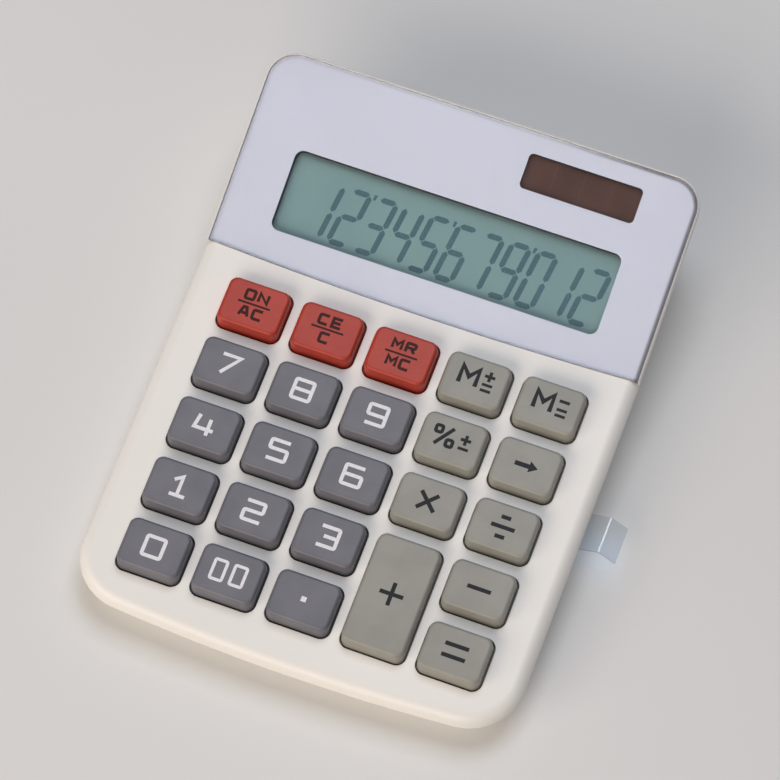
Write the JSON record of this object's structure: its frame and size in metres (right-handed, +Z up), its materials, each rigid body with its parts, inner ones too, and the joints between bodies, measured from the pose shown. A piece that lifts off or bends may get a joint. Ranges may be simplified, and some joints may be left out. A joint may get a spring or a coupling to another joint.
{
  "type": "desktop calculator",
  "caption": "Sloped desktop calculator with a clear display plate over LCD and solar windows, sprung push keys, board, coin cell, sliding battery door and pull tab.",
  "frame": {"origin": "middle of the case's footprint, in the plane of the feet's undersides", "axes": "+X to the user's right, +Y away from the user towards the display, +Z up"},
  "size_m": [0.1207, 0.1458, 0.0337],
  "materials": {
    "case_plastic": "cream moulded ABS, fine satin texture",
    "clear_acrylic": "clear polished acrylic",
    "printed_sheet": "pale lavender screen print",
    "display_glass": "grey-green reflective display glass",
    "white_plastic": "natural white plastic",
    "screw_steel": "zinc-plated steel",
    "ribbon_film": "amber film",
    "solar_glass": "brown amorphous cell behind glass",
    "wire_sleeve": "flexible wire sleeve",
    "silicone": "matte silicone rubber",
    "board_laminate": "green lacquered laminate",
    "epoxy": "black epoxy",
    "capacitor_sleeve": "blue shrink sleeve",
    "cell_nickel": "nickel-plated steel",
    "contact_brass": "spring brass",
    "clear_film": "thin clear polyester film",
    "foot_rubber": "black rubber",
    "key_red": "matte brick-red key plastic",
    "key_dark": "matte dark grey key plastic",
    "key_pale": "matte light grey key plastic"
  },
  "bodies": {
    "case": {"top_case": "case_plastic", "bottom_case": "case_plastic", "display_plate": "clear_acrylic", "plate_backing": "printed_sheet", "lcd_cell": "display_glass", "lcd_retainer": "white_plastic", "retainer_screws": "screw_steel", "lcd_ribbon": "ribbon_film", "solar_cell": "solar_glass", "solar_leads": "wire_sleeve", "rubber_keypad": "silicone", "main_board": "board_laminate", "board_screws": "screw_steel", "chip_cover": "epoxy", "capacitor": "capacitor_sleeve", "coin_cell": "cell_nickel", "cell_spring": "contact_brass", "cell_clip": "contact_brass", "rubber_feet": "foot_rubber", "case_screws": "screw_steel"},
    "battery_door": {"battery_door": "case_plastic"},
    "battery_pull_tab": {"battery_pull_tab": "clear_film"},
    "key_on": {"key_on": "key_red"},
    "key_clear": {"key_clear": "key_red"},
    "key_memory_recall": {"key_memory_recall": "key_red"},
    "key_memory_plus": {"key_memory_plus": "key_pale"},
    "key_memory_minus": {"key_memory_minus": "key_pale"},
    "key_7": {"key_7": "key_dark"},
    "key_8": {"key_8": "key_dark"},
    "key_9": {"key_9": "key_dark"},
    "key_percent": {"key_percent": "key_pale"},
    "key_delete_last": {"key_delete_last": "key_pale"},
    "key_4": {"key_4": "key_dark"},
    "key_5": {"key_5": "key_dark"},
    "key_6": {"key_6": "key_dark"},
    "key_multiply": {"key_multiply": "key_pale"},
    "key_divide": {"key_divide": "key_pale"},
    "key_1": {"key_1": "key_dark"},
    "key_2": {"key_2": "key_dark"},
    "key_3": {"key_3": "key_dark"},
    "key_plus": {"key_plus": "key_pale"},
    "key_minus": {"key_minus": "key_pale"},
    "key_0": {"key_0": "key_dark"},
    "key_double_zero": {"key_double_zero": "key_dark"},
    "key_point": {"key_point": "key_dark"},
    "key_equals": {"key_equals": "key_pale"}
  },
  "joints": [
    {"name": "battery_door_slide", "type": "slide", "parent": "case", "child": "battery_door", "axis": [1, 0, 0], "range_m": [0, 0.026]},
    {"name": "pull_tab_slide", "type": "slide", "parent": "case", "child": "battery_pull_tab", "axis": [1, 0, 0], "range_m": [0, 0.026]},
    {"name": "key_on_press", "type": "slide", "parent": "case", "child": "key_on", "axis": [0, 0.0698, -0.9976], "range_m": [0, 0.002], "stiffness_N_per_m": 300, "springref_m": -0.0005, "deforming": ["rubber_keypad"]},
    {"name": "key_clear_press", "type": "slide", "parent": "case", "child": "key_clear", "axis": [0, 0.0698, -0.9976], "range_m": [0, 0.002], "stiffness_N_per_m": 300, "springref_m": -0.0005, "deforming": ["rubber_keypad"]},
    {"name": "key_memory_recall_press", "type": "slide", "parent": "case", "child": "key_memory_recall", "axis": [0, 0.0698, -0.9976], "range_m": [0, 0.002], "stiffness_N_per_m": 300, "springref_m": -0.0005, "deforming": ["rubber_keypad"]},
    {"name": "key_memory_plus_press", "type": "slide", "parent": "case", "child": "key_memory_plus", "axis": [0, 0.0698, -0.9976], "range_m": [0, 0.002], "stiffness_N_per_m": 300, "springref_m": -0.0005, "deforming": ["rubber_keypad"]},
    {"name": "key_memory_minus_press", "type": "slide", "parent": "case", "child": "key_memory_minus", "axis": [0, 0.0698, -0.9976], "range_m": [0, 0.002], "stiffness_N_per_m": 300, "springref_m": -0.0005, "deforming": ["rubber_keypad"]},
    {"name": "key_7_press", "type": "slide", "parent": "case", "child": "key_7", "axis": [0, 0.0698, -0.9976], "range_m": [0, 0.002], "stiffness_N_per_m": 300, "springref_m": -0.0005, "deforming": ["rubber_keypad"]},
    {"name": "key_8_press", "type": "slide", "parent": "case", "child": "key_8", "axis": [0, 0.0698, -0.9976], "range_m": [0, 0.002], "stiffness_N_per_m": 300, "springref_m": -0.0005, "deforming": ["rubber_keypad"]},
    {"name": "key_9_press", "type": "slide", "parent": "case", "child": "key_9", "axis": [0, 0.0698, -0.9976], "range_m": [0, 0.002], "stiffness_N_per_m": 300, "springref_m": -0.0005, "deforming": ["rubber_keypad"]},
    {"name": "key_percent_press", "type": "slide", "parent": "case", "child": "key_percent", "axis": [0, 0.0698, -0.9976], "range_m": [0, 0.002], "stiffness_N_per_m": 300, "springref_m": -0.0005, "deforming": ["rubber_keypad"]},
    {"name": "key_delete_last_press", "type": "slide", "parent": "case", "child": "key_delete_last", "axis": [0, 0.0698, -0.9976], "range_m": [0, 0.002], "stiffness_N_per_m": 300, "springref_m": -0.0005, "deforming": ["rubber_keypad"]},
    {"name": "key_4_press", "type": "slide", "parent": "case", "child": "key_4", "axis": [0, 0.0698, -0.9976], "range_m": [0, 0.002], "stiffness_N_per_m": 300, "springref_m": -0.0005, "deforming": ["rubber_keypad"]},
    {"name": "key_5_press", "type": "slide", "parent": "case", "child": "key_5", "axis": [0, 0.0698, -0.9976], "range_m": [0, 0.002], "stiffness_N_per_m": 300, "springref_m": -0.0005, "deforming": ["rubber_keypad"]},
    {"name": "key_6_press", "type": "slide", "parent": "case", "child": "key_6", "axis": [0, 0.0698, -0.9976], "range_m": [0, 0.002], "stiffness_N_per_m": 300, "springref_m": -0.0005, "deforming": ["rubber_keypad"]},
    {"name": "key_multiply_press", "type": "slide", "parent": "case", "child": "key_multiply", "axis": [0, 0.0698, -0.9976], "range_m": [0, 0.002], "stiffness_N_per_m": 300, "springref_m": -0.0005, "deforming": ["rubber_keypad"]},
    {"name": "key_divide_press", "type": "slide", "parent": "case", "child": "key_divide", "axis": [0, 0.0698, -0.9976], "range_m": [0, 0.002], "stiffness_N_per_m": 300, "springref_m": -0.0005, "deforming": ["rubber_keypad"]},
    {"name": "key_1_press", "type": "slide", "parent": "case", "child": "key_1", "axis": [0, 0.0698, -0.9976], "range_m": [0, 0.002], "stiffness_N_per_m": 300, "springref_m": -0.0005, "deforming": ["rubber_keypad"]},
    {"name": "key_2_press", "type": "slide", "parent": "case", "child": "key_2", "axis": [0, 0.0698, -0.9976], "range_m": [0, 0.002], "stiffness_N_per_m": 300, "springref_m": -0.0005, "deforming": ["rubber_keypad"]},
    {"name": "key_3_press", "type": "slide", "parent": "case", "child": "key_3", "axis": [0, 0.0698, -0.9976], "range_m": [0, 0.002], "stiffness_N_per_m": 300, "springref_m": -0.0005, "deforming": ["rubber_keypad"]},
    {"name": "key_plus_press", "type": "slide", "parent": "case", "child": "key_plus", "axis": [0, 0.0698, -0.9976], "range_m": [0, 0.002], "stiffness_N_per_m": 300, "springref_m": -0.0005, "deforming": ["rubber_keypad"]},
    {"name": "key_minus_press", "type": "slide", "parent": "case", "child": "key_minus", "axis": [0, 0.0698, -0.9976], "range_m": [0, 0.002], "stiffness_N_per_m": 300, "springref_m": -0.0005, "deforming": ["rubber_keypad"]},
    {"name": "key_0_press", "type": "slide", "parent": "case", "child": "key_0", "axis": [0, 0.0698, -0.9976], "range_m": [0, 0.002], "stiffness_N_per_m": 300, "springref_m": -0.0005, "deforming": ["rubber_keypad"]},
    {"name": "key_double_zero_press", "type": "slide", "parent": "case", "child": "key_double_zero", "axis": [0, 0.0698, -0.9976], "range_m": [0, 0.002], "stiffness_N_per_m": 300, "springref_m": -0.0005, "deforming": ["rubber_keypad"]},
    {"name": "key_point_press", "type": "slide", "parent": "case", "child": "key_point", "axis": [0, 0.0698, -0.9976], "range_m": [0, 0.002], "stiffness_N_per_m": 300, "springref_m": -0.0005, "deforming": ["rubber_keypad"]},
    {"name": "key_equals_press", "type": "slide", "parent": "case", "child": "key_equals", "axis": [0, 0.0698, -0.9976], "range_m": [0, 0.002], "stiffness_N_per_m": 300, "springref_m": -0.0005, "deforming": ["rubber_keypad"]}
  ]
}
